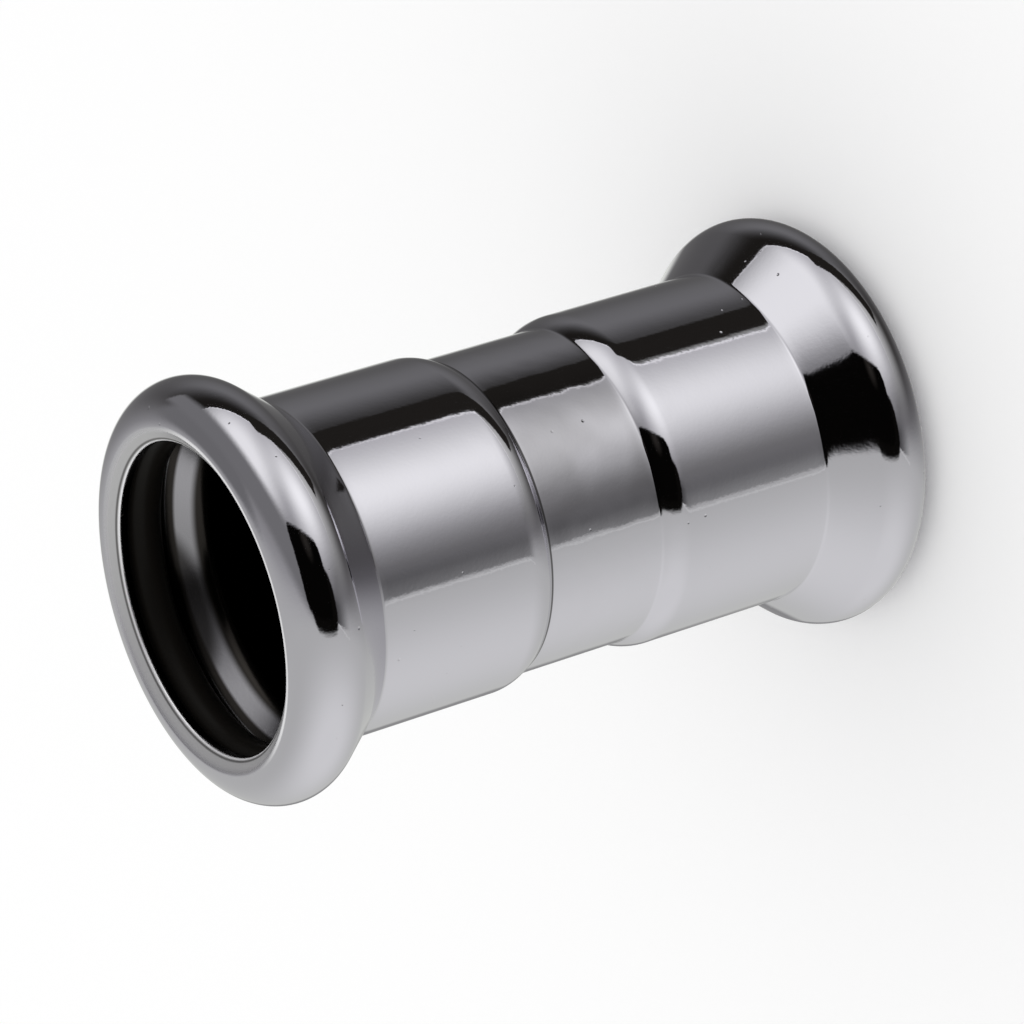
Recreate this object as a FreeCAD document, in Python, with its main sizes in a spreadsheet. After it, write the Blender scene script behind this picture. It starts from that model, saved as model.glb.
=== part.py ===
"""Straight press fitting that joins two pipes of one size end to end.

The fitting stands on its end: its axis is Z, and its origin is at its centre. All sizes are in millimetres.

coupling_body    one formed tube: a rolled bead with a turned-in lip at each end, two sockets, and a narrower
                 middle whose shoulders are the pipe stops inside
upper_seal_ring  rubber ring in the chamber of the upper bead
lower_seal_ring  rubber ring in the chamber of the lower bead
"""

import FreeCAD, Part
import math
import os

import Sketcher

# Driving dimensions. A clearance is measured on the radius, from the pipe's outside.
DIMENSIONS = [
    ("pipe_diameter", 22.0, "outside diameter of the pipe that is pushed in"),
    ("total_length", 55.5, "length over both beads"),
    ("wall", 1.5, "thickness of the tube's wall"),
    ("socket_clearance", 0.35, "pipe to the bore of its socket"),
    ("stop_length", 9.5, "length of the narrow middle, between the feet of its shoulders"),
    ("stop_depth", 0.7, "how far the middle steps in from the sockets, on the radius"),
    ("shoulder_round", 1.9, "bore-side radius where a shoulder leaves its socket"),
    ("foot_round", 0.5, "outside radius where a shoulder meets the middle"),
    ("bead_back", 5.3, "length of a bead's sloping back, from its crest down to its crease"),
    ("bead_fillet", 0.5, "outside radius in the crease where a bead meets its socket"),
    ("seal_section", 3.0, "diameter of a seal ring's section"),
    ("seal_clearance", 0.45, "pipe to the inside of a seal ring"),
    ("seal_gap", 0.05, "seal ring to the crest of its chamber"),
    ("seal_side_gap", 0.15, "seal ring to the chamber's rounded side"),
    ("mouth_clearance", 0.8, "pipe to the edge of the lip"),
    ("lip_edge", 0.8, "thickness of the lip at its edge"),
    ("lip_round", 0.2, "rounding of the lip's two edges"),
    ("front_round", 0.5, "rounding of the ridge between bead and lip"),
]

# Sizes that follow from the driving ones.
FOLLOWING = [
    ("socket_bore_radius", "dimensions.pipe_diameter / 2 + dimensions.socket_clearance"),
    ("socket_radius", "socket_bore_radius + dimensions.wall"),
    ("stop_radius", "socket_radius - dimensions.stop_depth"),
    ("stop_half_length", "dimensions.stop_length / 2"),
    ("shoulder_outer_round", "dimensions.shoulder_round + dimensions.wall"),
    ("half_length", "dimensions.total_length / 2"),
    ("seal_inner_radius", "dimensions.pipe_diameter / 2 + dimensions.seal_clearance"),
    ("seal_section_radius", "dimensions.seal_section / 2"),
    ("seal_centre_radius", "seal_inner_radius + seal_section_radius"),
    ("chamber_round", "seal_section_radius + dimensions.seal_side_gap"),
    ("bead_round", "chamber_round + dimensions.wall"),
    ("chamber_crest_radius", "seal_centre_radius + seal_section_radius + dimensions.seal_gap"),
    ("bead_centre_radius", "chamber_crest_radius - chamber_round"),
    ("bead_centre_height", "half_length - bead_round"),
    ("mouth_radius", "dimensions.pipe_diameter / 2 + dimensions.mouth_clearance"),
    ("mouth_height", "half_length - dimensions.wall + dimensions.lip_edge"),
    ("lip_edge_round", "min(dimensions.lip_round; 0.4 * dimensions.lip_edge)"),
]

FULL_TURN = 360.0
START, END, CENTRE = range(1, 4)
ORIGIN = (-1, START)
NEAR = 1e-4


def fill_sheets(doc):
    """Puts the driving numbers in one sheet, and what follows from them in another."""
    driving = doc.addObject("Spreadsheet::Sheet", "dimensions")
    for row, (alias, value, meaning) in enumerate(DIMENSIONS, start=1):
        driving.set(f"A{row}", meaning)
        driving.set(f"B{row}", str(value))
        driving.setAlias(f"B{row}", alias)
    doc.recompute()
    following = doc.addObject("Spreadsheet::Sheet", "following")
    for row, (alias, formula) in enumerate(FOLLOWING, start=1):
        following.set(f"A{row}", alias)
        following.set(f"B{row}", "=" + formula)
        following.setAlias(f"B{row}", alias)
    doc.recompute()
    return driving, following


def origin_plane(body, role):
    """Finds one of the body's own origin planes, such as XZ_Plane."""
    return next(item for item in body.Origin.OriginFeatures if item.Role == role)


def new_sketch(body, name):
    """An empty sketch in the plane of the axis: its X is the radius, its Y the height."""
    sketch = body.newObject("Sketcher::SketchObject", name)
    sketch.AttachmentSupport = [(origin_plane(body, "XZ_Plane"), "")]
    sketch.MapMode = "FlatFace"
    return sketch


def point(radius, height):
    return FreeCAD.Vector(radius, height, 0)


def line(sketch, start, end):
    return sketch.addGeometry(Part.LineSegment(start, end), False)


def arc(sketch, centre, radius, start, end):
    """An arc from the direction of start to the direction of end, anticlockwise about centre."""
    first = math.atan2(start.y - centre.y, start.x - centre.x)
    last = math.atan2(end.y - centre.y, end.x - centre.x)
    if last < first:
        last += 2 * math.pi
    circle = Part.Circle(centre, FreeCAD.Vector(0, 0, 1), radius)
    return sketch.addGeometry(Part.ArcOfCircle(circle, first, last), False)


def size(sketch, kind, where, name, source):
    """Adds a sized constraint at its present value, and binds it to a cell of the sheets."""
    value = getattr(sketch.Document.getObject(source.split(".")[0]), source.split(".")[1])
    index = sketch.addConstraint(Sketcher.Constraint(kind, *where, value))
    sketch.renameConstraint(index, name)
    sketch.setExpression(f"Constraints.{name}", source)


def solve(sketch):
    """Stops the build unless the sketch solves and nothing in it is left free."""
    if sketch.solve() != 0 or not sketch.FullyConstrained:
        raise RuntimeError(f"the sketch {sketch.Name} is not fully constrained")


def draw_wall(sketch, driving, following):
    """Draws the section of the tube's upper half: up its outside, over the lip and back down its bore."""
    wall = driving.wall
    foot = point(following.stop_radius + driving.foot_round, following.stop_half_length)
    rounds = following.shoulder_outer_round + driving.foot_round
    rise = math.sqrt(rounds**2 - (rounds - driving.stop_depth) ** 2)
    shoulder = point(following.socket_radius - following.shoulder_outer_round, foot.y + rise)
    bead = point(following.bead_centre_radius, following.bead_centre_height)
    fillet = point(following.socket_radius + driving.bead_fillet, bead.y - driving.bead_back)

    # The bead's back is the straight line that runs from the outer side of the bead's round to the crease.
    lean = math.atan2(fillet.x - bead.x, bead.y - fillet.y)
    slope = math.asin((following.bead_round + driving.bead_fillet) / (bead - fillet).Length) - lean
    outwards = point(math.cos(slope), -math.sin(slope))
    back_top = bead + outwards * following.bead_round
    back_foot = fillet - outwards * driving.bead_fillet

    stop_foot = point(following.stop_radius, foot.y)
    socket_start = point(following.socket_radius, shoulder.y)
    socket_end = point(following.socket_radius, fillet.y)
    front = point(bead.x, following.half_length)
    mouth = point(following.mouth_radius, following.mouth_height)
    lip_back = point(mouth.x, bead.y + following.chamber_round)
    chamber_front = point(bead.x, lip_back.y)
    inwards = point(wall, 0)

    middle_out = line(sketch, point(following.stop_radius, 0), stop_foot)
    foot_out = arc(sketch, foot, driving.foot_round, shoulder, stop_foot)
    shoulder_out = arc(sketch, shoulder, following.shoulder_outer_round, foot, socket_start)
    socket_out = line(sketch, socket_start, socket_end)
    fillet_out = arc(sketch, fillet, driving.bead_fillet, back_foot, socket_end)
    back_out = line(sketch, back_foot, back_top)
    bead_out = arc(sketch, bead, following.bead_round, back_top, front)
    lip_face = line(sketch, front, mouth)
    lip_bore = line(sketch, mouth, lip_back)
    lip_inside = line(sketch, lip_back, chamber_front)
    bead_in = arc(sketch, bead, following.chamber_round, back_top, chamber_front)
    back_in = line(sketch, back_top - outwards * wall, back_foot - outwards * wall)
    fillet_in = arc(sketch, fillet, driving.bead_fillet + wall, back_foot, socket_end - inwards)
    socket_in = line(sketch, socket_end - inwards, socket_start - inwards)
    shoulder_in = arc(sketch, shoulder, driving.shoulder_round, foot, socket_start - inwards)
    foot_in = arc(sketch, foot, driving.foot_round + wall, shoulder, stop_foot - inwards)
    middle_in = line(sketch, stop_foot - inwards, point(following.stop_radius - wall, 0))
    middle_cut = line(sketch, point(following.stop_radius - wall, 0), point(following.stop_radius, 0))

    tangents = [
        (middle_out, END, foot_out, END),
        (foot_out, START, shoulder_out, START),
        (shoulder_out, END, socket_out, START),
        (socket_out, END, fillet_out, END),
        (fillet_out, START, back_out, START),
        (back_out, END, bead_out, START),
        (bead_in, START, back_in, START),
        (back_in, END, fillet_in, START),
        (fillet_in, END, socket_in, START),
        (socket_in, END, shoulder_in, END),
        (shoulder_in, START, foot_in, START),
        (foot_in, END, middle_in, START),
    ]
    corners = [
        (bead_out, END, lip_face, START),
        (lip_face, END, lip_bore, START),
        (lip_bore, END, lip_inside, START),
        (lip_inside, END, bead_in, END),
        (middle_in, END, middle_cut, START),
        (middle_cut, END, middle_out, START),
        (foot_in, CENTRE, foot_out, CENTRE),
        (shoulder_in, CENTRE, shoulder_out, CENTRE),
        (fillet_in, CENTRE, fillet_out, CENTRE),
        (bead_in, CENTRE, bead_out, CENTRE),
    ]
    for kind, pairs in (("Coincident", corners), ("Tangent", tangents)):
        for pair in pairs:
            sketch.addConstraint(Sketcher.Constraint(kind, *pair))
    for upright in (middle_out, socket_out, lip_bore, socket_in, middle_in):
        sketch.addConstraint(Sketcher.Constraint("Vertical", upright))
    sketch.addConstraint(Sketcher.Constraint("Horizontal", lip_inside))
    sketch.addConstraint(Sketcher.Constraint("Horizontal", middle_cut))
    sketch.addConstraint(Sketcher.Constraint("PointOnObject", middle_out, START, ORIGIN[0]))
    sketch.addConstraint(Sketcher.Constraint("Vertical", bead_out, CENTRE, bead_out, END))
    sketch.addConstraint(Sketcher.Constraint("Vertical", bead_in, CENTRE, bead_in, END))
    sketch.addConstraint(Sketcher.Constraint("Parallel", back_in, back_out))

    size(sketch, "DistanceX", (*ORIGIN, middle_out, START), "stop_radius", "following.stop_radius")
    size(sketch, "DistanceY", (*ORIGIN, foot_out, CENTRE), "stop_half_length", "following.stop_half_length")
    size(sketch, "Radius", (foot_out,), "foot_round", "dimensions.foot_round")
    size(sketch, "Radius", (shoulder_out,), "shoulder_round", "following.shoulder_outer_round")
    size(sketch, "DistanceX", (*ORIGIN, socket_out, START), "socket_radius", "following.socket_radius")
    size(sketch, "Radius", (fillet_out,), "bead_fillet", "dimensions.bead_fillet")
    size(sketch, "DistanceY", (fillet_out, CENTRE, bead_out, CENTRE), "bead_back", "dimensions.bead_back")
    size(sketch, "Radius", (bead_out,), "bead_round", "following.bead_round")
    size(sketch, "Radius", (bead_in,), "chamber_round", "following.chamber_round")
    size(sketch, "DistanceX", (*ORIGIN, bead_out, CENTRE), "bead_radius", "following.bead_centre_radius")
    size(sketch, "DistanceY", (*ORIGIN, bead_out, CENTRE), "bead_height", "following.bead_centre_height")
    size(sketch, "DistanceX", (*ORIGIN, lip_bore, START), "mouth_radius", "following.mouth_radius")
    size(sketch, "DistanceY", (*ORIGIN, lip_bore, START), "mouth_height", "following.mouth_height")
    solve(sketch)


def revolve(body, sketch, name):
    """Turns a section once round the fitting's axis."""
    turned = body.newObject("PartDesign::Revolution", name)
    turned.Profile = sketch
    turned.ReferenceAxis = (sketch, ["V_Axis"])
    turned.Angle = FULL_TURN
    sketch.Visibility = False
    return turned


def rings_at(shape, radius, height):
    """Names the full circular edges of a radius that lie at a height above or below the centre."""
    names = []
    for number, edge in enumerate(shape.Edges, start=1):
        curve = edge.Curve
        if not isinstance(curve, Part.Circle):
            continue
        if abs(curve.Radius - radius) < NEAR and abs(abs(curve.Center.z) - height) < NEAR:
            names.append(f"Edge{number}")
    return names


def round_rings(body, base, name, places, source):
    """Rounds the rings at the given places of the base feature."""
    rounding = body.newObject("PartDesign::Fillet", name)
    edges = [edge for radius, height in places for edge in rings_at(base.Shape, radius, height)]
    rounding.Base = (base, edges)
    rounding.setExpression("Radius", source)
    body.Tip = rounding
    return rounding


def build_coupling(doc, driving, following):
    """The metal body: half of it is revolved, mirrored to the other half, and its edges are rounded."""
    body = doc.addObject("PartDesign::Body", "coupling_body")
    section = new_sketch(body, "wall_section")
    draw_wall(section, driving, following)
    half = revolve(body, section, "upper_half")
    doc.recompute()

    both = body.newObject("PartDesign::Mirrored", "both_halves")
    both.Originals = [half]
    both.MirrorPlane = (origin_plane(body, "XY_Plane"), [""])
    body.Tip = both
    doc.recompute()

    mouth = (following.mouth_radius, following.mouth_height)
    lip_back = (following.mouth_radius, following.half_length - driving.wall)
    lips = round_rings(body, both, "lip_rounding", [mouth, lip_back], "following.lip_edge_round")
    doc.recompute()
    front = (following.bead_centre_radius, following.half_length)
    round_rings(body, lips, "front_rounding", [front], "dimensions.front_round")
    return body


def build_seal_ring(doc, name, following, side):
    """A rubber ring in its chamber: side is 1 for the upper bead and -1 for the lower one."""
    body = doc.addObject("PartDesign::Body", name)
    section = new_sketch(body, name + "_section")
    centre = point(following.seal_centre_radius, side * following.bead_centre_height)
    circle = Part.Circle(centre, FreeCAD.Vector(0, 0, 1), following.seal_section_radius)
    ring = section.addGeometry(circle, False)
    height = (*ORIGIN, ring, CENTRE) if side > 0 else (ring, CENTRE, *ORIGIN)
    size(section, "DistanceX", (*ORIGIN, ring, CENTRE), "centre_radius", "following.seal_centre_radius")
    size(section, "DistanceY", height, "centre_height", "following.bead_centre_height")
    size(section, "Radius", (ring,), "section_radius", "following.seal_section_radius")
    solve(section)
    revolve(body, section, name + "_turned")
    return body


def check(doc, bodies):
    """Stops the build if a feature failed or a solid is not a single valid one."""
    for item in doc.Objects:
        if any(state in ("Invalid", "Error") for state in item.State):
            raise RuntimeError(f"{item.Name} failed: {item.State}")
    for body in bodies:
        shape = body.Shape
        if shape.isNull() or not shape.isValid() or len(shape.Solids) != 1:
            raise RuntimeError(f"{body.Label} is not one valid solid")


def main():
    doc = FreeCAD.newDocument("press_fitting")
    driving, following = fill_sheets(doc)
    bodies = [
        build_coupling(doc, driving, following),
        build_seal_ring(doc, "upper_seal_ring", following, 1),
        build_seal_ring(doc, "lower_seal_ring", following, -1),
    ]
    doc.recompute()
    check(doc, bodies)
    os.makedirs("parts", exist_ok=True)
    for body in bodies:
        body.Shape.exportStep(f"parts/{body.Label}.step")
        print(f"{body.Label}: {body.Shape.Volume:.1f} cubic mm")


main()
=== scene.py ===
import math
from collections import namedtuple

import bpy
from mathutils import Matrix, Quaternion, Vector


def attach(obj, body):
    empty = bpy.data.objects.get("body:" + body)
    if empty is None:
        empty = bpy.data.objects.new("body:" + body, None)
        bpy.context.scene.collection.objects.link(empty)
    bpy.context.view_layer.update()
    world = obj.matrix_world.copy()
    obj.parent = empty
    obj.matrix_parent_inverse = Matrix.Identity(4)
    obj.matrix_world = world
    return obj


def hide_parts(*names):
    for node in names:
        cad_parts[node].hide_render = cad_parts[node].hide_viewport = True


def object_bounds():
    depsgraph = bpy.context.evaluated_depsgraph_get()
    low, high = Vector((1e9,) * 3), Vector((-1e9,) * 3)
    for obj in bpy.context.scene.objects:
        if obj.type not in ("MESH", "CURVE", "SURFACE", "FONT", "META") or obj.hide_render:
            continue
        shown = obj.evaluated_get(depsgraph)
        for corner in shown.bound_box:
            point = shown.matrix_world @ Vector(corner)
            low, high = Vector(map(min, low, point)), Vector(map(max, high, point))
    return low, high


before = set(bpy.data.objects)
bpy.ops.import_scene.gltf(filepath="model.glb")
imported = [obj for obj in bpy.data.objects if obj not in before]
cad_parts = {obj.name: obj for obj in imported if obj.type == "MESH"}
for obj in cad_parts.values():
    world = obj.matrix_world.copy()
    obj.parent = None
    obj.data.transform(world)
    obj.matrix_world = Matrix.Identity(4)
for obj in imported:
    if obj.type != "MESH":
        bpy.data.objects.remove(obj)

cad_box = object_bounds()

MM = 0.001
MM_IN_A_METRE = 1000.0
QUARTER_TURN = math.pi / 2
QUARTER_TURN_IN_DEGREES = 90
HALF_TURN = math.pi
FULL_TURN = 2 * math.pi
MERGE_DISTANCE = 0.002 * MM

# The fitting's sizes in millimetres, as they were constructed. The heights are measured from the middle.
STOP_RADIUS = 12.15
STOP_HALF_LENGTH = 4.75
STOP_DEPTH = 0.7
FOOT_ROUND = 0.5
SHOULDER_ROUND = 3.4
SOCKET_RADIUS = 12.85
WALL = 1.5
CREASE_ROUND = 0.5
BEAD_BACK = 5.3
BEAD_ROUND = 3.15
BEAD_RADIUS = 12.85
BEAD_HEIGHT = 24.6
HALF_LENGTH = 27.75
MOUTH_RADIUS = 11.8
MOUTH_HEIGHT = 27.05
LIP_ROUND = 0.2
FRONT_ROUND = 0.5
SEAL_SECTION_RADIUS = 1.5
SEAL_RADIUS = 12.95

# How finely the shapes are stepped: round the axis and the seal, along straight runs, and round arcs.
ROUND_STEPS = 192
SEAL_SECTION_STEPS = 72
OUTER_ROW = 0.5
LIP_ROW = 0.2
CHAMBER_ROW = 0.3
BORE_ROW = 1.0
ARC_STEP = math.radians(2.5)
INNER_ARC_STEP = ARC_STEP * 1.5
SMALL_ARC_STEP = ARC_STEP * 2
LIP_ARC_STEP = ARC_STEP * 4
FEWEST_ARC_STEPS = 4

# The camera, level with the photograph's and turned nearly on its side.
CAMERA_PLACE = Vector((0.0, -0.314455, 0.178054))
CAMERA_AIM = Vector((-0.000521, 0.000189, 0.000336))
CAMERA_ROLL = math.radians(-107.128)
CAMERA_LENS = 170.665
SENSOR_WIDTH = 36.0
NEAREST_SEEN = 0.01
FARTHEST_SEEN = 20.0
VIEW_BACK = (CAMERA_PLACE - CAMERA_AIM).normalized()
VIEW_TURN = (CAMERA_AIM - CAMERA_PLACE).to_track_quat("-Z", "Y") @ Quaternion((0, 0, 1), CAMERA_ROLL)
VIEW_RIGHT = VIEW_TURN @ Vector((1, 0, 0))
VIEW_UP = VIEW_TURN @ Vector((0, 1, 0))

# Colours of the finishes, and of the painted highlight and the painted shade.
PLATING = (0.605, 0.592, 0.644, 1)
# Painted shade: a darker plating for the front of the narrow middle, standing in for a darker reflection
# there.
SHADED_PLATING = (0.375, 0.366, 0.392, 1)
DULL_LIP = (0.50, 0.495, 0.505, 1)
# Painted highlight: near-white for the mouth's inner edge and the front of the lip's ridge.
EDGE_HIGHLIGHT = (0.93, 0.92, 0.95, 1)
# Painted shade: near-black for the bore, the crease at the upper shoulder's foot and a line beside the
# mouth's edge.
PAINTED_SHADE = (0.030, 0.027, 0.025, 1)
RUBBER = (0.008, 0.007, 0.006, 1)
WHITE = (1, 1, 1, 1)

# Gloss of the finishes.
PLATING_ROUGHNESS = 0.045
LIP_ROUGHNESS = 0.40
ADDED_BORE_ROUGHNESS = 0.16
LIP_METAL = 0.5
RUBBER_ROUGHNESS = 0.34
RUBBER_SHINE = 0.055

# Where each finish, painted highlight and painted shade starts and stops, in millimetres from the axis or
# from the middle.
# A fade runs from its first number to its second.
LIP_STARTS_ALONG = (26.9, 27.1)
LIP_STOPS_OUT = (12.35, 13.15)
EDGE_STARTS_ALONG = (26.85, 26.95)
# How far out the painted highlight on the mouth's inner edge reaches.
EDGE_HIGHLIGHT_STOPS_OUT = (11.86, 11.93)
# A fine line of painted shade beside the mouth's painted highlight.
EDGE_SHADE_STARTS_OUT = (11.93, 11.98)
EDGE_SHADE_STOPS_OUT = (12.04, 12.14)
EDGE_SHADE_SHARE = 0.75
# The ridge of the lip, which gets a painted highlight on the front.
RIDGE_STARTS_ALONG = (27.6, 27.66)
RIDGE_STARTS_OUT = (12.55, 12.65)
RIDGE_STOPS_OUT = (13.02, 13.18)
# A fine line of painted shade in the crease at the foot of the upper shoulder.
FOOT_SHADE_STARTS_ALONG = (4.72, 4.78)
FOOT_SHADE_STOPS_ALONG = (4.88, 4.98)
FOOT_SHADE_SHARE = 0.8
# The bore's painted shade is lifted on a ramp behind the seal and on a thin painted highlight line; the
# shares say how much.
UNSHADED_RAMP_STARTS_ALONG = (20.5, 21.0)
UNSHADED_RAMP_STOPS_ALONG = (21.75, 22.0)
HIGHLIGHT_LINE_STARTS_ALONG = (22.34, 22.40)
HIGHLIGHT_LINE_STOPS_ALONG = (22.40, 22.46)
HIGHLIGHT_LINE_SHARE = 0.5
UNSHADED_SHARE_FRONT = 0.56
UNSHADED_SHARE_BACK = 0.08

# The middle of the wall, which parts its inside from its outside, between two places along it.
SOCKET_WALL_ALONG = (4.9, 6.9)
SOCKET_WALL_OUT = (11.4, 12.1)
BEAD_WALL_ALONG = (19.3, 23.6)
BEAD_WALL_OUT = (12.2, 14.9)
SOCKET_WALL_STOPS_ALONG = (19.0, 19.2)
INSIDE_STOPS_ALONG = (26.9, 27.0)
INSIDE_FADE = (0.0, 0.1)

# Marks on one side only, in metres from the axis towards that side.
FRONT_SIDE = (0.0, -1.0, 0.0)
BACK_SIDE = (0.0, 1.0, 0.0)
UPWARDS = (0.0, 0.0, 1.0)
RIDGE_FRONT = (0.002, 0.008)
# Towards the back, painted shade covers the ramp and the line again.
BACK_SHADE_OUT = (0.0113, 0.0123)
# The painted shade on the front of the narrow middle, in cloudy patches.
MIDDLE_SHADE_TURN = math.radians(14)
MIDDLE_SHADE_SIDE = (math.sin(MIDDLE_SHADE_TURN), -math.cos(MIDDLE_SHADE_TURN), 0.0)
MIDDLE_SHADE_FRONT = (0.0098, 0.0119)
MIDDLE_SHADE_STOPS_ALONG = (4.3, 5.6)
MIDDLE_SHADE_CLOUD_SCALE = 210.0
MIDDLE_SHADE_CLOUD_DETAIL = 1.0
MIDDLE_SHADE_CLOUD = (0.35, 0.65)
MIDDLE_SHADE_SHARES = (0.55, 0.95)

# The relief of the plating: patterns to the metre, and heights in metres.
PEEL_SCALE = 3400.0
PEEL_DETAIL = 2.0
PEEL_HEIGHT = 2.2e-6
WAVE_SCALE = 420.0
WAVE_DETAIL = 1.0
WAVE_ALONG = (3.0, 12.0)
WAVE_HEIGHTS = (2.4e-5, 0.6e-5)
PIT_SCALE = 620.0
PIT_CHOICE = (0.50, 0.54)
PIT_SIZES = (0.045, 0.11)
PIT_DEPTH = 4.0e-5

# The grain of the rubber.
GRAIN_SCALE = 5000.0
GRAIN_DETAIL = 2.0
GRAIN_STRENGTH = 0.4
GRAIN_HEIGHT = 4.0e-6

# The floor's width, in metres.
FLOOR_WIDTH = 8

# What the metal reflects. Turn, rise, roll and sizes are in degrees, as the picture stands.
# Corners and softness are in shares of the distance, and a level of 1 is white.
Card = namedtuple("Card", "name how within turn rise roll half_width half_height corner softness level")
Screen = namedtuple(
    "Screen",
    "name how within turn rise roll half_width half_height side_softness head_softness foot_softness level",
)
Glow = namedtuple("Glow", "name how within turn rise outer inner level")
Rim = namedtuple("Rim", "name how within level")

ROOM = 0.46
STUDIO = [
    Glow("ceiling", "MIX", "", 55.0, 86.0, 120.0, 54.0, 0.027),
    Glow("ceiling_fill", "MIX", "", 189.0, 62.0, 62.0, 4.0, 0.21),
    Card("ceiling_beam", "MIX", "", -119.0, 78.0, 18.0, 19.0, 45.0, 0.05, 0.57, 0.015),
    Glow("right_wall", "ADD", "", 73.0, 44.5, 46.5, 0.0, 0.77),
    Screen("softbox", "MIX", "", 1.5, 51.5, -13.0, 60.5, 40.0, 2.2, 0.02, 0.9, 0.485),
    Glow("right_lamp", "ADD", "softbox", 41.5, 45.0, 42.5, 0.0, 0.91),
    Glow("left_lamp", "ADD", "softbox", -54.0, 44.5, 46.5, 10.0, 0.75),
    Glow("top_lamp", "ADD", "softbox", 67.0, 92.0, 35.0, 0.0, 0.22),
    Rim("softbox_rim", "ADD", "softbox", 0.55),
    Card("black_strip", "MIX", "", 115.0, 64.0, -96.0, 26.0, 8.5, 0.02, 0.03, 0.018),
    Glow("table", "MIX", "", 155.0, -78.0, 89.0, 68.0, 0.63),
    Glow("table_light", "ADD", "table", 115.0, -75.0, 71.0, 12.5, 0.31),
    Screen("wall_shade", "MIX", "", 53.0, -9.6, 5.0, 16.2, 7.2, 0.68, 0.22, 0.03, 0.09),
    Card("table_rim", "MIX", "", 64.0, -17.2, 0.0, 17.0, 0.5, 0.002, 0.012, 0.75),
    Glow("table_side", "MIX", "", -98.0, 10.5, 25.0, 17.0, 0.21),
    Glow("backdrop", "MIX", "", 188.0, 2.0, 16.0, 5.0, 0.80),
    Glow("table_far", "MIX", "", 180.0, -13.0, 12.0, 5.0, 0.30),
    Card("left_screen", "MIX", "", -51.0, 14.0, -30.5, 68.5, 19.0, 0.05, 0.34, 0.23),
    Card("camera_stand", "MIX", "", 21.0, -11.5, 9.5, 31.5, 17.5, 0.25, 0.08, 0.004),
    Card("camera_head", "MIX", "", 10.5, -0.5, 4.5, 30.5, 22.5, 0.15, 0.06, 0.002),
    Glow("camera_lens", "ADD", "", 13.0, 16.5, 12.5, 0.0, 0.026),
]
RIM_BAND = (-0.04, -0.012)
LEAST_AHEAD = 0.001

# Tints of the cards: black below the dark level and lamp above the lamp level.
WARM_BLACK = (1.10, 1.0, 0.86)
LAMP_WHITE = (0.985, 1.0, 0.955)
NEUTRAL = (1.0, 1.0, 1.0)
DARK_LEVEL = 0.05
LAMP_LEVEL = 0.55

VECTOR_SOCKETS = ("Direction", "Facing", "Side", "Head", "Aim", "Place")


def place_camera():
    data = bpy.data.cameras.new("camera")
    data.lens = CAMERA_LENS
    data.sensor_width = SENSOR_WIDTH
    data.clip_start = NEAREST_SEEN
    data.clip_end = FARTHEST_SEEN
    camera = bpy.data.objects.new("camera", data)
    bpy.context.scene.collection.objects.link(camera)
    camera.rotation_mode = "QUATERNION"
    camera.rotation_quaternion = VIEW_TURN
    camera.location = CAMERA_PLACE
    bpy.context.scene.camera = camera


def deselect_all():
    bpy.ops.object.select_all(action="DESELECT")


def start_section(name, radius, height):
    """Starts a section in the XZ plane with one point: a tiny plane merged to its centre and moved out."""
    deselect_all()
    bpy.ops.mesh.primitive_plane_add(size=MM, location=(0, 0, 0))
    piece = bpy.context.object
    piece.name = name
    piece.data.name = name
    bpy.ops.object.mode_set(mode="EDIT")
    bpy.ops.mesh.select_mode(type="VERT")
    bpy.ops.mesh.select_all(action="SELECT")
    bpy.ops.mesh.merge(type="CENTER")
    bpy.ops.transform.translate(value=(radius * MM, 0, height * MM))
    return piece


class Pencil:
    """Draws a section on from its selected point. It knows that point's radius and height in millimetres."""

    def __init__(self, radius, height):
        self.radius = radius
        self.height = height

    def line_to(self, radius, height, row=OUTER_ROW):
        run = math.hypot(radius - self.radius, height - self.height)
        rows = max(1, round(run / row))
        step = ((radius - self.radius) / rows * MM, 0, (height - self.height) / rows * MM)
        for _ in range(rows):
            bpy.ops.mesh.extrude_region_move(TRANSFORM_OT_translate={"value": step})
        self.radius = radius
        self.height = height

    def arc(self, centre, start, end, step=ARC_STEP):
        """Turns about a centre, between two directions that are measured from outwards towards up."""
        size = math.hypot(self.radius - centre[0], self.height - centre[1])
        bpy.ops.mesh.spin(
            steps=max(FEWEST_ARC_STEPS, round(abs(end - start) / step)),
            angle=end - start,
            center=(centre[0] * MM, 0, centre[1] * MM),
            axis=(0, 1, 0),
        )
        self.radius = centre[0] + size * math.cos(end)
        self.height = centre[1] + size * math.sin(end)


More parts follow.
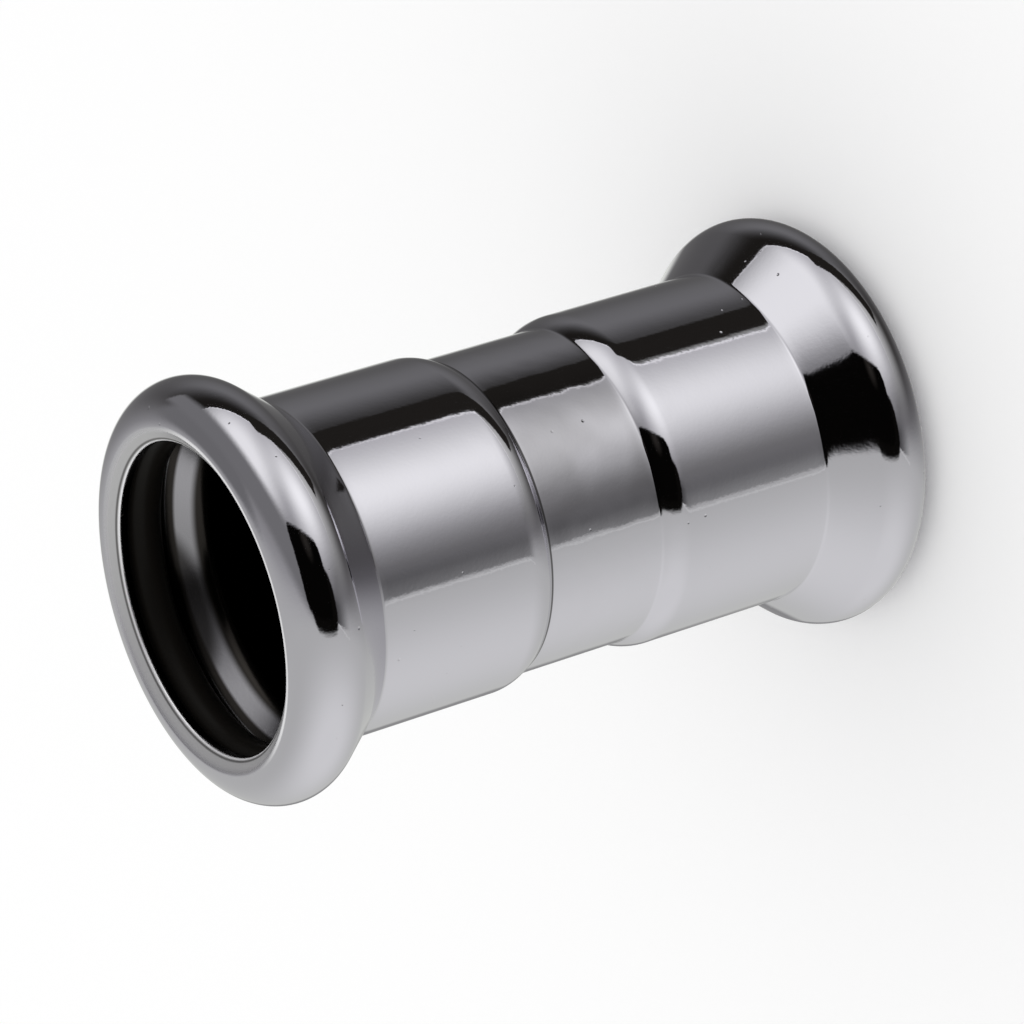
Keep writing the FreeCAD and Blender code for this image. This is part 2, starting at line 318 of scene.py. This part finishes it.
def draw_wall():
    """Draws the upper half of the tube's wall: up its outside, over the lip and back down its bore."""
    drop = SHOULDER_ROUND + FOOT_ROUND
    lean = math.acos((drop - STOP_DEPTH) / drop)
    shoulder = (SOCKET_RADIUS - SHOULDER_ROUND, STOP_HALF_LENGTH + drop * math.sin(lean))
    foot = (STOP_RADIUS + FOOT_ROUND, STOP_HALF_LENGTH)
    crease = (SOCKET_RADIUS + CREASE_ROUND, BEAD_HEIGHT - BEAD_BACK)
    bead = (BEAD_RADIUS, BEAD_HEIGHT)

    # The bead's back is the straight line that touches the crease and the bead.
    reach = math.hypot(crease[0] - bead[0], bead[1] - crease[1])
    tilt = math.atan2(crease[0] - bead[0], bead[1] - crease[1])
    slope = math.asin((BEAD_ROUND + CREASE_ROUND) / reach) - tilt
    outwards = (math.cos(slope), -math.sin(slope))

    # The lip's face slopes from the ridge in to the mouth, and a small arc joins it to the bead.
    face = Vector((MOUTH_RADIUS - BEAD_RADIUS, MOUTH_HEIGHT - HALF_LENGTH)).normalized()
    face_out = Vector((face.y, -face.x))
    face_angle = math.atan2(face_out.y, face_out.x)
    start = Vector((BEAD_RADIUS, HALF_LENGTH)) - face_out * FRONT_ROUND - Vector(bead)
    along = -start.dot(face)
    inner = BEAD_ROUND - FRONT_ROUND
    slide = along - math.sqrt(along**2 - start.length_squared + inner**2)
    ridge = Vector(bead) + start + face * slide
    ridge_angle = math.atan2(ridge.y - bead[1], ridge.x - bead[0])
    mouth_radius = MOUTH_RADIUS + LIP_ROUND
    mouth_height = MOUTH_HEIGHT - (LIP_ROUND + LIP_ROUND * face_out.x) / face_out.y
    mouth = (mouth_radius, mouth_height)
    lip_back = (mouth_radius, HALF_LENGTH - WALL + LIP_ROUND)

    pencil = Pencil(STOP_RADIUS, 0)
    pencil.line_to(STOP_RADIUS, STOP_HALF_LENGTH)
    pencil.arc(foot, HALF_TURN, HALF_TURN - lean, SMALL_ARC_STEP)
    pencil.arc(shoulder, -lean, 0)
    pencil.line_to(SOCKET_RADIUS, crease[1])
    pencil.arc(crease, HALF_TURN, HALF_TURN - slope, SMALL_ARC_STEP)
    pencil.line_to(bead[0] + BEAD_ROUND * outwards[0], bead[1] + BEAD_ROUND * outwards[1])
    pencil.arc(bead, -slope, ridge_angle)
    pencil.arc(tuple(ridge), ridge_angle, face_angle, SMALL_ARC_STEP)
    pencil.line_to(mouth[0] + LIP_ROUND * face_out.x, mouth[1] + LIP_ROUND * face_out.y, LIP_ROW)
    pencil.arc(mouth, face_angle, HALF_TURN, LIP_ARC_STEP)
    pencil.line_to(MOUTH_RADIUS, lip_back[1], LIP_ROW)
    pencil.arc(lip_back, HALF_TURN, HALF_TURN + QUARTER_TURN, LIP_ARC_STEP)
    pencil.line_to(bead[0], bead[1] + BEAD_ROUND - WALL, CHAMBER_ROW)
    pencil.arc(bead, QUARTER_TURN, -slope, INNER_ARC_STEP)
    crease_inside = CREASE_ROUND + WALL
    pencil.line_to(crease[0] - crease_inside * outwards[0], crease[1] - crease_inside * outwards[1])
    pencil.arc(crease, HALF_TURN - slope, HALF_TURN, INNER_ARC_STEP)
    pencil.line_to(SOCKET_RADIUS - WALL, shoulder[1], BORE_ROW)
    pencil.arc(shoulder, 0, -lean, INNER_ARC_STEP)
    pencil.arc(foot, HALF_TURN - lean, HALF_TURN, SMALL_ARC_STEP)
    pencil.line_to(STOP_RADIUS - WALL, 0, BORE_ROW)


def merge_doubles():
    bpy.ops.mesh.select_all(action="SELECT")
    bpy.ops.mesh.remove_doubles(threshold=MERGE_DISTANCE)


def turn_round():
    """Turns the whole section once round the axis and closes its seam."""
    bpy.ops.mesh.select_all(action="SELECT")
    bpy.ops.mesh.spin(steps=ROUND_STEPS, angle=FULL_TURN, center=(0, 0, 0), axis=(0, 0, 1))
    merge_doubles()


def finish_mesh(piece):
    """Leaves edit mode with all faces outwards and smooth."""
    bpy.ops.mesh.select_all(action="SELECT")
    bpy.ops.mesh.normals_make_consistent(inside=False)
    bpy.ops.object.mode_set(mode="OBJECT")
    bpy.ops.object.shade_smooth()
    piece.select_set(False)


def mirror_across_middle(piece):
    """Adds the lower half of a piece whose upper half stands on the middle plane."""
    bpy.ops.object.mode_set(mode="OBJECT")
    bpy.context.view_layer.objects.active = piece
    mirror = piece.modifiers.new("mirror", "MIRROR")
    mirror.use_axis = (False, False, True)
    mirror.merge_threshold = MERGE_DISTANCE
    bpy.ops.object.modifier_apply(modifier=mirror.name)
    bpy.ops.object.mode_set(mode="EDIT")
    merge_doubles()


def make_body():
    """The formed metal tube with a rolled bead at each end."""
    piece = start_section("plated_body", STOP_RADIUS, 0)
    draw_wall()
    turn_round()
    mirror_across_middle(piece)
    finish_mesh(piece)
    return piece


def make_seal(name, height):
    """A rubber ring of round section, turned round the axis."""
    deselect_all()
    bpy.ops.mesh.primitive_circle_add(
        vertices=SEAL_SECTION_STEPS,
        radius=SEAL_SECTION_RADIUS * MM,
        location=(SEAL_RADIUS * MM, 0, height * MM),
        rotation=(QUARTER_TURN, 0, 0),
    )
    piece = bpy.context.object
    piece.name = name
    piece.data.name = name
    bpy.ops.object.transform_apply(location=True, rotation=True, scale=True)
    bpy.ops.object.mode_set(mode="EDIT")
    turn_round()
    finish_mesh(piece)
    return piece


class Wiring:
    """Adds nodes to one tree. An input is given a constant or another node's output."""

    def __init__(self, tree):
        self.tree = tree

    def add(self, kind, given=None, **settings):
        node = self.tree.nodes.new(kind)
        for name, value in settings.items():
            setattr(node, name, value)
        for name, value in (given or {}).items():
            self.give(node.inputs[name], value)
        return node

    def give(self, socket, value):
        if isinstance(value, bpy.types.NodeSocket):
            self.tree.links.new(value, socket)
        else:
            socket.default_value = value

    def math(self, operation, *values):
        node = self.add("ShaderNodeMath", operation=operation)
        for socket, value in zip(node.inputs, values):
            self.give(socket, value)
        return node.outputs[0]

    def times(self, one, other):
        return self.math("MULTIPLY", one, other)

    def minus(self, one, other):
        return self.math("SUBTRACT", one, other)

    def dot(self, one, other):
        node = self.add("ShaderNodeVectorMath", {0: one, 1: other}, operation="DOT_PRODUCT")
        return node.outputs["Value"]

    def ramp(self, value, low, high, to_low=0.0, to_high=1.0, shape="SMOOTHSTEP"):
        """Takes a value from one range to another, and holds it inside the second."""
        ranges = {"Value": value, "From Min": low, "From Max": high, "To Min": to_low, "To Max": to_high}
        return self.add("ShaderNodeMapRange", ranges, interpolation_type=shape).outputs["Result"]

    def straight_ramp(self, value, low, high, to_low, to_high):
        return self.ramp(value, low, high, to_low, to_high, "LINEAR")

    def from_here(self, value, fade):
        """0 before a fade and 1 past it."""
        return self.ramp(value, fade[0], fade[1])

    def up_to_here(self, value, fade):
        """1 before a fade and 0 past it."""
        return self.ramp(value, fade[0], fade[1], 1.0, 0.0)

    def band(self, value, starts, stops):
        return self.times(self.from_here(value, starts), self.up_to_here(value, stops))

    def mix(self, share, one, other, how="MIX"):
        node = self.add("ShaderNodeMix", data_type="RGBA", blend_type=how)
        self.give(node.inputs["Factor"], share)
        self.give(node.inputs["A"], one)
        self.give(node.inputs["B"], other)
        return node.outputs["Result"]


def start_group(name, inputs, outputs):
    """An empty node group with its sockets: plain numbers, but for those that are listed as vectors."""
    group = bpy.data.node_groups.new(name, "ShaderNodeTree")
    for direction, labels in (("INPUT", inputs), ("OUTPUT", outputs)):
        for label in labels:
            kind = "NodeSocketVector" if label in VECTOR_SOCKETS else "NodeSocketFloat"
            group.interface.new_socket(name=label, in_out=direction, socket_type=kind)
    wiring = Wiring(group)
    return group, wiring, wiring.add("NodeGroupInput").outputs, wiring.add("NodeGroupOutput").inputs


def start_material(name):
    material = bpy.data.materials.new(name)
    material.use_nodes = True
    material.node_tree.nodes.clear()
    wiring = Wiring(material.node_tree)
    shader = wiring.add("ShaderNodeBsdfPrincipled")
    wiring.add("ShaderNodeOutputMaterial", {"Surface": shader.outputs["BSDF"]})
    return material, wiring, shader.inputs


def plating_relief_group():
    """The relief of the plating, in metres: a fine orange peel, the slow waves of forming, and small pits."""
    labels = ["Place", "Peel", "Waves", "Pits"]
    group, wiring, given, result = start_group("plating_relief", labels, ["Height"])
    place = given["Place"]
    peel = wiring.add("ShaderNodeTexNoise", {"Vector": place, "Scale": PEEL_SCALE, "Detail": PEEL_DETAIL})
    waves = wiring.add("ShaderNodeTexNoise", {"Vector": place, "Scale": WAVE_SCALE, "Detail": WAVE_DETAIL})
    pits = wiring.add("ShaderNodeTexVoronoi", {"Vector": place, "Scale": PIT_SCALE}, feature="F1")
    chance = wiring.add("ShaderNodeSeparateColor", {"Color": pits.outputs["Color"]}).outputs
    chosen = wiring.from_here(chance["Red"], PIT_CHOICE)
    size = wiring.straight_ramp(chance["Green"], 0.0, 1.0, *PIT_SIZES)
    hollow = wiring.ramp(pits.outputs["Distance"], 0.0, size, -1.0, 0.0)
    height = wiring.times(peel.outputs["Fac"], given["Peel"])
    height = wiring.math("MULTIPLY_ADD", waves.outputs["Fac"], given["Waves"], height)
    height = wiring.math("MULTIPLY_ADD", wiring.times(hollow, chosen), given["Pits"], height)
    wiring.give(result["Height"], height)
    return group


def place_on_wall_group():
    """The distances from the axis and from the middle, in millimetres."""
    group, wiring, given, result = start_group("place_on_wall", ["Place"], ["Radius", "Along"])
    parts = wiring.add("ShaderNodeSeparateXYZ", {"Vector": given["Place"]}).outputs
    square = wiring.times(parts["X"], parts["X"])
    square = wiring.math("MULTIPLY_ADD", parts["Y"], parts["Y"], square)
    wiring.give(result["Radius"], wiring.times(wiring.math("SQRT", square), MM_IN_A_METRE))
    wiring.give(result["Along"], wiring.times(wiring.math("ABSOLUTE", parts["Z"]), MM_IN_A_METRE))
    return group


def middle_painted_shade_group():
    """Where painted shade lies in cloudy patches on the front of the narrow middle, standing in for a darker
    reflection there.
    """
    group, wiring, given, result = start_group("middle_painted_shade", ["Place", "Along"], ["Mask"])
    facing = wiring.from_here(wiring.dot(given["Place"], MIDDLE_SHADE_SIDE), MIDDLE_SHADE_FRONT)
    length = wiring.up_to_here(given["Along"], MIDDLE_SHADE_STOPS_ALONG)
    cloud = wiring.add("ShaderNodeTexNoise", {
        "Vector": given["Place"], "Scale": MIDDLE_SHADE_CLOUD_SCALE, "Detail": MIDDLE_SHADE_CLOUD_DETAIL,
    })
    share = wiring.ramp(cloud.outputs["Fac"], *MIDDLE_SHADE_CLOUD, *MIDDLE_SHADE_SHARES)
    wiring.give(result["Mask"], wiring.times(wiring.times(facing, length), share))
    return group


def bore_side(wiring, radius, along):
    """1 on the inner side of the wall and 0 on its outer side and on the lip."""
    bead_wall = wiring.straight_ramp(along, *BEAD_WALL_ALONG, *BEAD_WALL_OUT)
    in_bead = wiring.from_here(wiring.minus(bead_wall, radius), INSIDE_FADE)
    socket_wall = wiring.straight_ramp(along, *SOCKET_WALL_ALONG, *SOCKET_WALL_OUT)
    in_socket = wiring.from_here(wiring.minus(socket_wall, radius), INSIDE_FADE)
    socket = wiring.up_to_here(along, SOCKET_WALL_STOPS_ALONG)
    inside = wiring.times(in_bead, wiring.minus(1.0, socket))
    inside = wiring.math("MULTIPLY_ADD", in_socket, socket, inside)
    return wiring.times(inside, wiring.up_to_here(along, INSIDE_STOPS_ALONG))


def unshaded_bore(wiring, place, along):
    """Where the bore's painted shade is lifted: the ramp behind the seal, and a thin line beside it that is a
    painted highlight.
    """
    ramp = wiring.band(along, UNSHADED_RAMP_STARTS_ALONG, UNSHADED_RAMP_STOPS_ALONG)
    line_stops = wiring.ramp(along, *HIGHLIGHT_LINE_STOPS_ALONG, HIGHLIGHT_LINE_SHARE, 0.0)
    line = wiring.times(wiring.from_here(along, HIGHLIGHT_LINE_STARTS_ALONG), line_stops)

    # Painted shade covers both again at the very back.
    share = wiring.ramp(wiring.dot(place, BACK_SIDE), *BACK_SHADE_OUT, UNSHADED_SHARE_FRONT, UNSHADED_SHARE_BACK)
    return wiring.times(wiring.math("MAXIMUM", ramp, line), share)


def front_ridge_highlight(wiring, place, radius, along):
    """Where the ridge of the lip gets a painted highlight, on the front of the fitting only."""
    ridge = wiring.band(radius, RIDGE_STARTS_OUT, RIDGE_STOPS_OUT)
    ridge = wiring.times(ridge, wiring.from_here(along, RIDGE_STARTS_ALONG))
    return wiring.times(ridge, wiring.from_here(wiring.dot(place, FRONT_SIDE), RIDGE_FRONT))


def steel_material():
    """Bright plating with a dull lip, a painted highlight on the mouth's inner edge and on the front of the
    lip's ridge, and painted shade in the bore, in the crease at the upper shoulder's foot, beside the mouth's
    edge and on the front of the narrow middle.
    """
    material, wiring, shader = start_material("plated_steel")
    place = wiring.add("ShaderNodeTexCoord").outputs["Object"]
    where = wiring.add("ShaderNodeGroup", node_tree=place_on_wall_group())
    wiring.give(where.inputs["Place"], place)
    radius = where.outputs["Radius"]
    along = where.outputs["Along"]

    lip = wiring.times(wiring.from_here(along, LIP_STARTS_ALONG), wiring.up_to_here(radius, LIP_STOPS_OUT))
    ridge = front_ridge_highlight(wiring, place, radius, along)
    dull = wiring.math("MAXIMUM", lip, ridge)
    wiring.give(shader["Metallic"], wiring.straight_ramp(dull, 0.0, 1.0, 1.0, LIP_METAL))

    # Painted shade darkens the bore, but for the ramp and line behind the seal.
    inside = bore_side(wiring, radius, along)
    dark = wiring.times(inside, wiring.minus(1.0, unshaded_bore(wiring, place, along)))
    # The front of the narrow middle gets painted shade in cloudy patches.
    middle_shade = wiring.add("ShaderNodeGroup", node_tree=middle_painted_shade_group())
    wiring.give(middle_shade.inputs["Place"], place)
    wiring.give(middle_shade.inputs["Along"], along)
    finish = wiring.mix(middle_shade.outputs["Mask"], PLATING, SHADED_PLATING)
    finish = wiring.mix(lip, finish, DULL_LIP)
    finish = wiring.mix(dark, finish, PAINTED_SHADE)

    # Painted highlight: near-white on the mouth's inner edge and on the front of the lip's ridge.
    at_edge = wiring.from_here(along, EDGE_STARTS_ALONG)
    edge_highlight = wiring.times(at_edge, wiring.up_to_here(radius, EDGE_HIGHLIGHT_STOPS_OUT))
    finish = wiring.mix(wiring.math("MAXIMUM", edge_highlight, ridge), finish, EDGE_HIGHLIGHT)

    # A fine line of painted shade lies in the crease at the foot of the upper shoulder.
    rise = wiring.times(wiring.dot(place, UPWARDS), MM_IN_A_METRE)
    foot_shade = wiring.band(rise, FOOT_SHADE_STARTS_ALONG, FOOT_SHADE_STOPS_ALONG)
    finish = wiring.mix(wiring.times(foot_shade, FOOT_SHADE_SHARE), finish, PAINTED_SHADE)

    # A fine line of painted shade lies beside the painted highlight on the mouth's inner edge.
    edge_shade = wiring.times(wiring.band(radius, EDGE_SHADE_STARTS_OUT, EDGE_SHADE_STOPS_OUT), at_edge)
    finish = wiring.mix(wiring.times(edge_shade, EDGE_SHADE_SHARE), finish, PAINTED_SHADE)
    wiring.give(shader["Base Color"], finish)

    roughness = wiring.straight_ramp(lip, 0.0, 1.0, PLATING_ROUGHNESS, LIP_ROUGHNESS)
    roughness = wiring.math("MULTIPLY_ADD", inside, ADDED_BORE_ROUGHNESS, roughness)
    wiring.give(shader["Roughness"], roughness)

    relief = wiring.add("ShaderNodeGroup", node_tree=plating_relief_group())
    wiring.give(relief.inputs["Place"], place)
    wiring.give(relief.inputs["Peel"], PEEL_HEIGHT)
    wiring.give(relief.inputs["Waves"], wiring.ramp(along, *WAVE_ALONG, *WAVE_HEIGHTS))
    wiring.give(relief.inputs["Pits"], PIT_DEPTH)
    height = relief.outputs["Height"]
    bump = wiring.add("ShaderNodeBump", {"Strength": 1.0, "Distance": 1.0, "Height": height})
    wiring.give(shader["Normal"], bump.outputs["Normal"])
    return material


def rubber_material():
    """Black rubber with the faint grain and shine of its mould."""
    material, wiring, shader = start_material("seal_rubber")
    shader["Base Color"].default_value = RUBBER
    shader["Roughness"].default_value = RUBBER_ROUGHNESS
    shader["Specular IOR Level"].default_value = RUBBER_SHINE
    place = wiring.add("ShaderNodeTexCoord").outputs["Object"]
    grain = wiring.add("ShaderNodeTexNoise", {"Vector": place, "Scale": GRAIN_SCALE, "Detail": GRAIN_DETAIL})
    bump = wiring.add("ShaderNodeBump", {
        "Strength": GRAIN_STRENGTH, "Distance": GRAIN_HEIGHT, "Height": grain.outputs["Fac"],
    })
    wiring.give(shader["Normal"], bump.outputs["Normal"])
    return material


def towards(turn, rise):
    """A direction in the room: degrees to the right of the camera and degrees up, as the picture stands."""
    turn = math.radians(turn)
    rise = math.radians(rise)
    level = VIEW_BACK * math.cos(turn) + VIEW_RIGHT * math.sin(turn)
    return level * math.cos(rise) + VIEW_UP * math.sin(rise)


def flat_inputs(part):
    """The direction of a card or screen, the ones along its width and its height, and half of both sizes."""
    facing = towards(part.turn, part.rise)
    side = towards(part.turn + QUARTER_TURN_IN_DEGREES, 0)
    head = facing.cross(side)
    roll = math.radians(part.roll)
    return {
        "Facing": facing,
        "Side": side * math.cos(roll) + head * math.sin(roll),
        "Head": head * math.cos(roll) - side * math.sin(roll),
        "Half Width": math.tan(math.radians(part.half_width)),
        "Half Height": math.tan(math.radians(part.half_height)),
    }


def studio_inputs(part):
    if isinstance(part, Glow):
        return {
            "Aim": towards(part.turn, part.rise),
            "Outer": math.radians(part.outer),
            "Inner": math.radians(part.inner),
        }
    if isinstance(part, Card):
        return {**flat_inputs(part), "Corner": part.corner, "Softness": part.softness}
    return {
        **flat_inputs(part),
        "Side Softness": part.side_softness,
        "Head Softness": part.head_softness,
        "Foot Softness": part.foot_softness,
    }


def seen_on_plane(wiring, given):
    """How far across and up a direction meets the plane of a card, and whether the card is ahead of it."""
    ahead = wiring.dot(given["Direction"], given["Facing"])
    share = wiring.math("MAXIMUM", ahead, LEAST_AHEAD)
    across = wiring.math("DIVIDE", wiring.dot(given["Direction"], given["Side"]), share)
    up = wiring.math("DIVIDE", wiring.dot(given["Direction"], given["Head"]), share)
    return wiring.math("ABSOLUTE", across), up, wiring.math("GREATER_THAN", ahead, 0.0)


def soft_edge(wiring, past_edge, softness):
    half = wiring.times(softness, 0.5)
    return wiring.ramp(past_edge, half, wiring.times(half, -1.0))


def card_group():
    """Where a flat card with round corners is seen."""
    labels = ["Direction", "Facing", "Side", "Head", "Half Width", "Half Height", "Corner", "Softness"]
    group, wiring, given, result = start_group("studio_card", labels, ["Mask"])
    across, up, ahead = seen_on_plane(wiring, given)
    up = wiring.math("ABSOLUTE", up)
    past_side = wiring.minus(across, wiring.minus(given["Half Width"], given["Corner"]))
    past_head = wiring.minus(up, wiring.minus(given["Half Height"], given["Corner"]))
    side_part = wiring.math("POWER", wiring.math("MAXIMUM", past_side, 0.0), 2.0)
    head_part = wiring.math("POWER", wiring.math("MAXIMUM", past_head, 0.0), 2.0)
    outside = wiring.math("SQRT", wiring.math("ADD", side_part, head_part))
    within = wiring.math("MINIMUM", wiring.math("MAXIMUM", past_side, past_head), 0.0)
    past_edge = wiring.minus(wiring.math("ADD", outside, within), given["Corner"])
    mask = soft_edge(wiring, past_edge, given["Softness"])
    wiring.give(result["Mask"], wiring.times(mask, ahead))
    return group


def screen_group():
    """Where a screen is seen whose edges differ in softness, and the band just inside its head."""
    labels = ["Direction", "Facing", "Side", "Head", "Half Width", "Half Height"]
    labels += ["Side Softness", "Head Softness", "Foot Softness"]
    group, wiring, given, result = start_group("studio_screen", labels, ["Mask", "Rim"])
    across, up, ahead = seen_on_plane(wiring, given)
    past_side = wiring.minus(across, given["Half Width"])
    past_head = wiring.minus(up, given["Half Height"])
    past_foot = wiring.minus(wiring.times(up, -1.0), given["Half Height"])
    mask = soft_edge(wiring, past_side, given["Side Softness"])
    mask = wiring.times(mask, soft_edge(wiring, past_head, given["Head Softness"]))
    mask = wiring.times(mask, soft_edge(wiring, past_foot, given["Foot Softness"]))
    mask = wiring.times(mask, ahead)
    wiring.give(result["Mask"], mask)
    wiring.give(result["Rim"], wiring.times(mask, wiring.from_here(past_head, RIM_BAND)))
    return group


def glow_group():
    """Where a round lamp is seen: 1 inside its inner circle, fading to 0 at its outer one."""
    labels = ["Direction", "Aim", "Outer", "Inner"]
    group, wiring, given, result = start_group("studio_glow", labels, ["Mask"])
    aimed = wiring.math("MINIMUM", wiring.dot(given["Direction"], given["Aim"]), 1.0)
    angle = wiring.math("ARCCOSINE", aimed)
    wiring.give(result["Mask"], wiring.ramp(angle, given["Outer"], given["Inner"]))
    return group


def tinted(level):
    """Black cards are a little warm, and lamps very slightly green, which the plating turns neutral."""
    tint = NEUTRAL
    if level < DARK_LEVEL:
        tint = WARM_BLACK
    if level > LAMP_LEVEL:
        tint = LAMP_WHITE
    return (level * tint[0], level * tint[1], level * tint[2], 1)


def build_studio():
    """A white world, in which what is glossy reflects a plain studio of cards and lamps."""
    world = bpy.data.worlds.new("studio")
    bpy.context.scene.world = world
    world.use_nodes = True
    world.cycles.sampling_method = "NONE"
    world.node_tree.nodes.clear()
    wiring = Wiring(world.node_tree)
    direction = wiring.add("ShaderNodeTexCoord").outputs["Generated"]
    groups = {Card: card_group(), Screen: screen_group(), Glow: glow_group()}

    seen = tinted(ROOM)
    placed = {}
    for part in STUDIO:
        if isinstance(part, Rim):
            seen = wiring.mix(placed[part.within].outputs["Rim"], seen, tinted(part.level), part.how)
            continue
        node = wiring.add("ShaderNodeGroup", node_tree=groups[type(part)])
        node.name = part.name
        node.label = part.name
        wiring.give(node.inputs["Direction"], direction)
        for label, value in studio_inputs(part).items():
            wiring.give(node.inputs[label], value)
        placed[part.name] = node
        mask = node.outputs["Mask"]
        if part.within:
            mask = wiring.times(mask, placed[part.within].outputs["Mask"])
        seen = wiring.mix(mask, seen, tinted(part.level), part.how)

    rays = wiring.add("ShaderNodeLightPath")
    shown = wiring.mix(rays.outputs["Is Glossy Ray"], WHITE, seen)
    background = wiring.add("ShaderNodeBackground", {"Color": shown, "Strength": 1.0})
    wiring.add("ShaderNodeOutputWorld", {"Surface": background.outputs["Background"]})


def lay_floor():
    """A white floor under the fitting that takes its shadow and stays out of the reflections."""
    deselect_all()
    lowest_corner = cad_box[0]
    bpy.ops.mesh.primitive_plane_add(size=FLOOR_WIDTH, location=(0, 0, lowest_corner.z))
    floor = bpy.context.object
    floor.name = "floor"
    floor.visible_glossy = False
    material, _, shader = start_material("floor")
    shader["Base Color"].default_value = WHITE
    shader["Roughness"].default_value = 1.0
    shader["Specular IOR Level"].default_value = 0.0
    floor.data.materials.append(material)
    floor.select_set(False)


place_camera()
build_studio()
lay_floor()

steel = steel_material()
rubber = rubber_material()

body = make_body()
body.data.materials.append(steel)
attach(body, "root")
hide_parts("coupling_body")

for side, height in (("upper", BEAD_HEIGHT), ("lower", -BEAD_HEIGHT)):
    seal = make_seal(f"{side}_seal", height)
    seal.data.materials.append(rubber)
    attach(seal, "root")
    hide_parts(f"{side}_seal_ring")

bpy.context.scene.view_settings.view_transform = "Standard"
